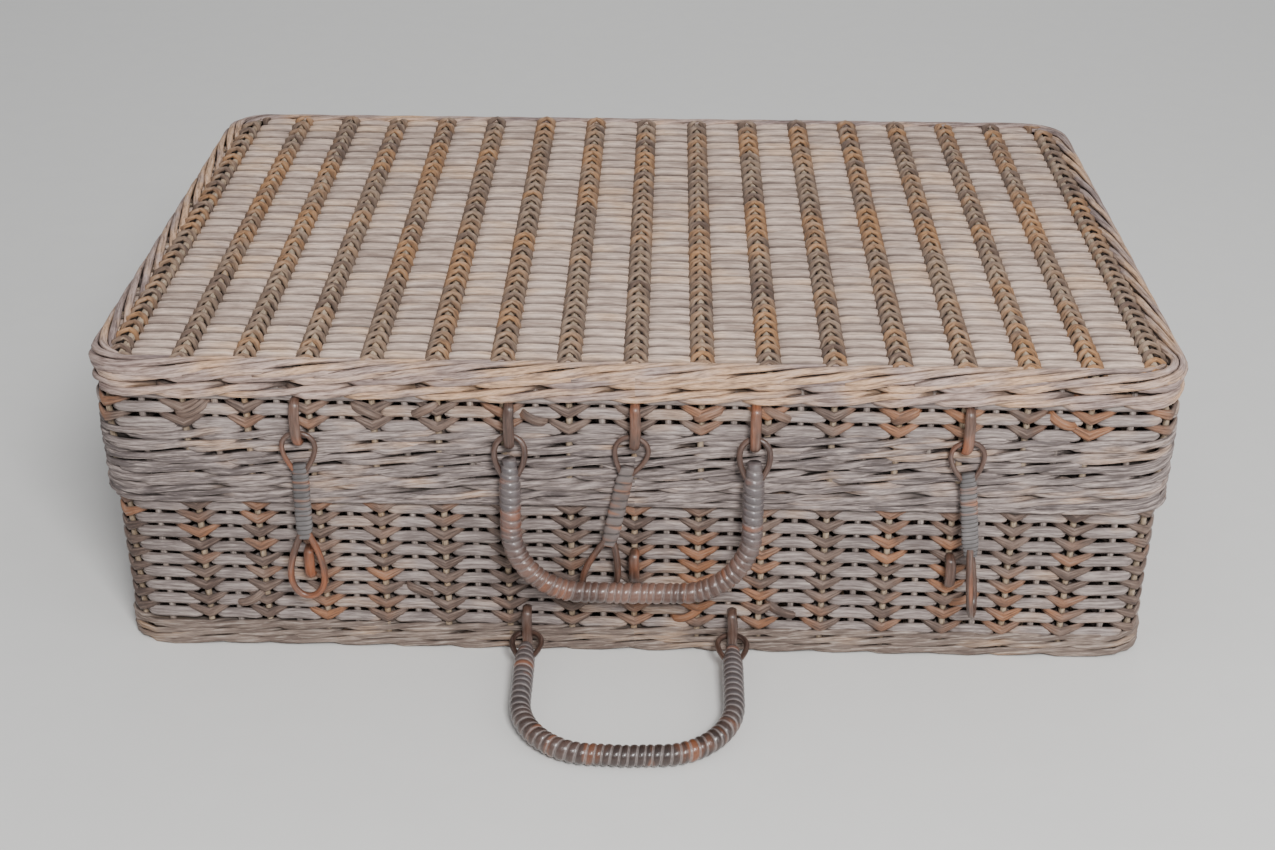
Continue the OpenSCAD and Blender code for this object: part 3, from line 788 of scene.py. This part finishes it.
def staple(rng, node, raised):
    # split cane bent into a squarish U that comes out of the wall: z = middle + half cos t and
    # y = wall - reach sin t, both to the power 0.42; raised is how far it reaches above its node
    low, high = boxOf(node)
    high[2] += raised
    width, thick = stapleCane["width"], stapleCane["thick"]
    t = np.linspace(0.02, math.pi - 0.02, 22)
    half = (high[2] - low[2] - thick) / 2
    reach = high[1] - low[1] - thick / 2
    z = (low[2] + high[2]) / 2 + half * np.sign(np.cos(t)) * np.abs(np.cos(t)) ** 0.42
    y = high[1] - reach * np.sin(t) ** 0.42
    x = np.full_like(t, (low[0] + high[0]) / 2) + uneven(rng, 1, t / math.pi, 0.25, 1, 3, 2)[0]
    path = np.stack([x, y, z], -1)[None]
    facing = np.stack([0 * t, -np.sin(t) ** 0.5, np.cos(t)], -1)[None]
    girth = 1 - 0.12 * np.cos(t) ** 2
    shape = splitProfile(width, thick, 1, [0, 0.08, 0.22, 0.4, 0.6, 0.78, 0.92, 1], 0.4, 0)
    return strands(rng, path, facing, shape - [0, thick / 2], girth, tint=rng.uniform(0.2, 0.9))


rng = np.random.default_rng(41)
for body, hook, raised in [("base", "hasp_catch", 0), ("lid", "hasp_hanger", 3.6)]:
    for node in [f"{body}_handle_staple_left", f"{body}_handle_staple_right",
                 f"{hook}_left", f"{hook}_middle", f"{hook}_right"]:
        makePiece(node + "_cane", body, "fitting_cane", darkCane, [node], staple(rng, node, raised))

hinge = {"twist": 9, "lay": 1.0, "strand": 2.1}


def hingeRing(rng, node):
    # three strands wound round a circle in the YZ plane: radius + lay cos f outwards and lay sin f
    # sideways, where f makes twist turns and starts a third of a turn later for the next strand
    low, high = boxOf(node)
    middle = (low + high) / 2
    radius = (high[2] - low[2]) / 2 - hinge["lay"] - hinge["strand"] / 2
    t = np.linspace(0, 2 * math.pi, 96, endpoint=False)
    f = hinge["twist"] * t + np.arange(3)[:, None] * 2 * math.pi / 3
    r = radius + hinge["lay"] * np.cos(f)
    path = middle + np.stack([hinge["lay"] * np.sin(f), r * np.cos(t), r * np.sin(t)], -1)
    facing = np.stack([0 * f, np.cos(t) + 0 * f, np.sin(t) + 0 * f], -1)
    shape = roundProfile(hinge["strand"], hinge["strand"])
    return strands(rng, path, facing, shape, 1.0, True, rng.uniform(0, 1, 3))


for node in ["hinge_ring_left", "hinge_ring_middle", "hinge_ring_right"]:
    makePiece(node + "_cane", "base", "fitting_cane", darkCane, [node], hingeRing(rng, node))


def teardrop(half, top, neck, parting=1.5, count=30):
    # closed drop with its neck at t = 0: x = half sin t |sin t/2|^1.2, widest at 1, z runs from neck to
    # top as (1 + cos t) / 2
    t = np.linspace(0, 2 * math.pi, count)
    x = np.sin(t) * np.abs(np.sin(t / 2)) ** 1.2
    x = half * x / np.abs(x).max() + parting * np.cos(t / 2)
    z = top - (top - neck) * (1 + np.cos(t)) / 2
    return np.stack([x, 0 * t, z], -1)[None]


def windingFinish(name, look):
    # split cane wound round a rod: its skin is dark and glossy, its grooves get pale dust or painted shade,
    # and painted shade darkens the groove bottoms
    f = Finish(name)
    strand = f.node("ShaderNodeUVMap", {"uv_map": "strandMap"})
    place = f.node("ShaderNodeTexCoord", output=3)
    leg, groove = f.attribute("tint"), f.attribute("shadeAndGrime")
    fibres = f.noise(f.scaled(strand, (400, 30, 1)), 1, 3, 0.6)
    patches = f.noise(place, 28, 3)
    bands = f.noise(f.scaled(strand, (look["band"], 0.6, 1)), 1, 1)
    bright = f.noise(place, 45, 2) * 0.45 + bands * 0.55
    colour = f.mix(patches.between(0.4, 0.6), look["one"], look["two"])
    colour = f.mix(leg * look["legShare"], colour, look["leg"])
    colour = f.mix(bright.between(0.53, 0.62) * look["oddShare"], colour, look["odd"])
    colour = f.mix(fibres.between(0.5, 0.75) * 0.4, colour, look["dark"])
    # groove colour: pale dust on the grips, painted shade on the hasps
    colour = f.mix(groove.between(0.25, 0.5) * look["grooveDustAndShadeShare"], colour, look["grooveDustAndShade"])
    # painted shade in the bottoms of the grooves between turns
    colour = f.mix(groove.between(0.5, 0.9) * 0.8, colour, look["dark"])
    rough = groove * 0.35 + fibres * 0.2 + look["rough"]
    return f.finished(colour, rough, fibres, 0.0002, coat=look["coat"])


# dark doubles as the painted shade at the bottoms of the grooves
windingLook = {
    "one": rgb(70, 50, 43), "two": rgb(118, 88, 76), "odd": rgb(154, 90, 52), "leg": rgb(88, 84, 86),
    "legShare": 0.8, "dark": rgb(20, 15, 14), "grooveDustAndShade": rgb(162, 150, 146), "grooveDustAndShadeShare": 0.3, "band": 14.0,
    "oddShare": 0.5, "rough": 0.18, "coat": 0.6,
}
gripWinding = windingFinish("grip_winding", windingLook)
baseGripWinding = windingFinish("base_grip_winding", windingLook | {
    "one": rgb(50, 37, 33), "two": rgb(84, 65, 58), "legShare": 0.6, "grooveDustAndShadeShare": 0.5})
# on the hasps the groove colour is painted shade, darker than the cane
haspWinding = windingFinish("hasp_winding", windingLook | {
    "one": rgb(90, 86, 86), "two": rgb(126, 121, 120), "odd": rgb(156, 98, 64), "leg": rgb(112, 84, 70),
    "legShare": 0.5, "grooveDustAndShade": rgb(70, 64, 62), "dark": rgb(38, 33, 32), "rough": 0.42, "coat": 0.1,
    "grooveDustAndShadeShare": 0.7, "oddShare": 0.75, "band": 20.0})

grip = {
    "eye": 14,            # from the axis to where the legs start
    "eyeCane": 3.5,
    "bend": 40,           # radius of the two bends
    "core": 8,
    "outer": 12.5,
    "turn": 4.7,          # length of one turn of the winding
    "ridge": 1.3,
    "overlap": 1,         # how far above the leg's top the winding starts
}


def gripPath(width, length, top, sag, count):
    # two legs, two bends and a grip, at even steps: the corner's middle + radius * normal, as on the ring
    r = grip["bend"]
    leg, bridge = length - r - top, width - 2 * r
    breaks = np.cumsum([0, leg, r * math.pi / 2, bridge, r * math.pi / 2, leg])
    s = np.linspace(0, breaks[-1], count)
    turn = np.interp(s, breaks, np.array([0, 0, 1, 1, 2, 2]) * math.pi / 2)
    x = np.interp(s, breaks, bridge / 2 * np.array([-1, -1, -1, 1, 1, 1])) - r * np.cos(turn)
    z = np.interp(s, breaks, [-top, -length + r, -length + r, -length + r, -length + r, -top]) \
        - r * np.sin(turn)
    z = z - sag * np.clip(1 - np.abs(x) / (width / 2), 0, 1) * np.sin(turn) ** 2
    return np.stack([x, 0 * x, z], -1), s, breaks[-1]


def grips(rng, name, at, size, finish):
    # the bent rod with a drop-shaped eye at each end, and the split cane wound round it
    width, length, offset, lean, swing, sag = (
        size[key] for key in ("width", "length", "offset", "lean", "swing", "sag"))
    top = math.sqrt(grip["eye"] ** 2 - offset**2)

    def placed(points, tipped):
        # legs lean out from below the eyes; an eye slopes from the axis out to its leg
        if tipped:
            points = turned(points + [0, 0, top], lean) + [0, -offset, -top]
        return turned(points, swing) + at

    coreLine, _, _ = gripPath(width, length, top + 3, sag, 60)
    flat = np.broadcast_to(turned(np.array([0, -1.0, 0]), lean + swing), coreLine[None].shape)
    parts = [strands(rng, placed(coreLine, True)[None], flat, roundProfile(grip["core"], grip["core"], 12))]
    for side in (-1, 1):
        drop = teardrop(7.4, 0, -grip["eye"] - 12, 2.2)
        depth = np.clip(-drop[..., 2] / top, 0, None)
        lower = np.clip(-drop[..., 2] - top, 0, None) * math.sin(math.radians(lean))
        drop[..., 1] = -offset * np.minimum(depth, 1) - lower
        drop[..., 0] += side * width / 2
        parts.append(strands(rng, placed(drop, False), np.broadcast_to(flat[:, :1], drop.shape),
                             roundProfile(grip["eyeCane"], grip["eyeCane"]), tint=0.3))
    makePiece(name + "_rod", name, "handle_core", darkCane, [name + "_core"], *parts)

    begin = top - grip["overlap"]
    _, _, total = gripPath(width, length, begin, sag, 8)
    count = int(total / grip["turn"] * 10)   # ten rings of points for each turn
    line, s, total = gripPath(width, length, begin, sag, count)
    a = np.arange(22) * 2 * math.pi / 22
    wander = uneven(rng, 1, s / total, 0.12, 2, 20)[0]
    f = s[:, None] / grip["turn"] + wander[:, None] + a / (2 * math.pi)
    hump = np.abs(np.sin(math.pi * f)) ** 0.5
    radius = grip["outer"] / 2 - grip["ridge"] * (1 - hump)
    ends = np.minimum(s, total - s)
    radius = radius * (0.62 + 0.38 * ease(ends, -4, 16))[:, None]
    shape = np.stack([radius * np.cos(a), radius * np.sin(a)], -1)
    flat = np.broadcast_to(flat[:, :1], (1, count, 3))
    legShare = 1 - ease(ends, (length - grip["bend"]) * 0.55, length - grip["bend"] + 18)
    # the groove depth between turns, which gets dust and painted shade
    winding = strands(rng, placed(line, True)[None], flat, shape, tint=legShare[None],
                      shadeAndGrime=(1 - hump)[None], crease=0)
    makePiece(name + "_winding", name, "binding_cane", finish, [name + "_binding"], winding)


rng = np.random.default_rng(51)
eyeAxis = np.array([0, wallLow[1] - 2.6, 150.0])   # the lid's grip and the hasps hang from this line
lidGrip = {"width": 138, "length": 96, "offset": 4.8, "lean": 5, "swing": 0, "sag": 1}
baseGrip = {"width": 122, "length": 102, "offset": 0, "lean": 0, "swing": 85.7, "sag": 3}
grips(rng, "lid_handle", eyeAxis + [-1.5, 0, 0], lidGrip, gripWinding)
grips(rng, "base_handle", np.array([-2.5, footLow[1] - 2.4, 14]), baseGrip, baseGripWinding)

hasps = {
    "left": {"x": -190, "lean": 4.2, "tilt": 0, "length": 105, "twist": 0, "turn": 3.0, "brown": 0.0},
    "middle": {"x": 0, "lean": 1.5, "tilt": -12, "length": 110, "twist": 0, "turn": 5.6, "brown": 0.6},
    "right": {"x": 186, "lean": 5, "tilt": 6, "length": 110, "twist": 75, "turn": 2.6, "brown": 0.0},
}
haspShape = {"eyeHalf": 8.6, "eyeNeck": -26, "eyeCane": 3, "loopHalf": 9, "loopLong": 38, "loopCane": 4,
             "width": 10, "thick": 5, "squareness": 0.75, "top": -19.0}
for name, hasp in hasps.items():
    at = eyeAxis + [hasp["x"], 0, 0]
    front = turned(np.array([0, -1.0, 0]), hasp["lean"], hasp["tilt"])
    eye = teardrop(haspShape["eyeHalf"], 0, haspShape["eyeNeck"])
    loop = teardrop(haspShape["loopHalf"], -hasp["length"], -hasp["length"] + haspShape["loopLong"] + 5)
    c, s = math.cos(math.radians(hasp["twist"])), math.sin(math.radians(hasp["twist"]))
    loop = np.stack([loop[..., 0] * c, loop[..., 0] * s, loop[..., 2]], -1)
    loopFront = turned(np.array([s, -c, 0.0]), hasp["lean"], hasp["tilt"])
    parts = [
        strands(rng, turned(eye, hasp["lean"], hasp["tilt"]) + at, np.broadcast_to(front, eye.shape),
                roundProfile(haspShape["eyeCane"], haspShape["eyeCane"]), tint=0.4),
        strands(rng, turned(loop, hasp["lean"], hasp["tilt"]) + at, np.broadcast_to(loopFront, loop.shape),
                roundProfile(haspShape["loopCane"], haspShape["loopCane"]), tint=0.7)]
    makePiece(f"hasp_{name}_loops", f"hasp_{name}", "fitting_cane", darkCane, [f"hasp_{name}_cane"], *parts)
    top, bottom = haspShape["top"], -hasp["length"] + haspShape["loopLong"] + 0.3
    count = int((top - bottom) / hasp["turn"] * 8)   # eight rings of points for each turn
    z = np.linspace(top, bottom, count)
    a = np.arange(20) * 2 * math.pi / 20
    f = z[:, None] / hasp["turn"] + a / (2 * math.pi)
    hump = np.abs(np.sin(math.pi * f)) ** 0.5
    narrow = 0.8 + 0.2 * ease(np.minimum(top - z, z - bottom), 0, 9)[:, None]
    across, outwards = (np.sign(v) * np.abs(v) ** haspShape["squareness"] for v in (np.cos(a), np.sin(a)))
    shape = np.stack([haspShape["width"] / 2 * across * narrow,
                      haspShape["thick"] / 2 * outwards * (0.8 + 0.2 * narrow)], -1)
    shape = shape * (0.84 + 0.16 * hump)[..., None]
    path = np.stack([0 * z, 0 * z, z], -1)[None]
    # the groove depth between turns, which gets painted shade
    winding = strands(rng, turned(path, hasp["lean"], hasp["tilt"]) + at, np.broadcast_to(front, path.shape),
                      shape, tint=hasp["brown"], shadeAndGrime=(1 - hump)[None], crease=0)
    makePiece(f"hasp_{name}_winding", f"hasp_{name}", "binding_cane", haspWinding,
              [f"hasp_{name}_binding"], winding)
print("fittings made")


camera = bpy.data.objects.new("camera", bpy.data.cameras.new("camera"))
bpy.context.scene.collection.objects.link(camera)
view = {"place": (0.0166, -1.110, 0.655), "down": 28.8, "yaw": 0.96, "roll": 0.35, "lens": 52.1}
camera.data.sensor_width = 36
camera.data.lens = view["lens"]
camera.location = view["place"]
down, yaw, roll = (math.radians(view[key]) for key in ("down", "yaw", "roll"))
camera.rotation_mode = "QUATERNION"
tipped = Matrix.Rotation(math.pi / 2 - down, 3, "X") @ Matrix.Rotation(roll, 3, "Z")
camera.rotation_quaternion = (Matrix.Rotation(yaw, 3, "Z") @ tipped).to_quaternion()
bpy.context.scene.camera = camera

floorMesh = bpy.data.meshes.new("floor")
half = 6.0
corners = [(-half, -half, 0), (half, -half, 0), (half, half, 0), (-half, half, 0)]
floorMesh.from_pydata(corners, [], [(0, 1, 2, 3)])
floor = bpy.data.objects.new("floor", floorMesh)
bpy.context.scene.collection.objects.link(floor)
floor.location.z = -0.0005
paper = Finish("pale_floor")
grain = paper.noise(paper.node("ShaderNodeTexCoord", output=3), 40, 2)
paleShade = paper.mix(grain, rgb(226, 225, 222), rgb(230, 229, 226))
floorMesh.materials.append(paper.finished(paleShade, 0.8, grain, 0.0001))

lamps = {   # place, size and power
    "key": ((0.35, -1.45, 1.25), 0.45, 33),
    "fill": ((1.6, -1.2, 1.0), 1.5, 10),
    "side": ((-1.6, -0.6, 1.4), 1.5, 1.5),
    "back": ((0.2, 1.8, 1.6), 1.6, 10),
}
aim = Vector((0, 0, 0.1))
for name, (place, size, power) in lamps.items():
    lamp = bpy.data.lights.new(name, "AREA")
    lamp.size, lamp.energy = size, power
    holder = bpy.data.objects.new(name, lamp)
    bpy.context.scene.collection.objects.link(holder)
    holder.location = place
    holder.rotation_mode = "QUATERNION"
    holder.rotation_quaternion = (aim - Vector(place)).to_track_quat("-Z", "Y")
world = bpy.data.worlds.new("room")
bpy.context.scene.world = world
world.use_nodes = True
sky = world.node_tree.nodes["Background"].inputs
sky["Color"].default_value = (0.9, 0.92, 0.95, 1)
sky["Strength"].default_value = 0.45
print("camera and lamps set")
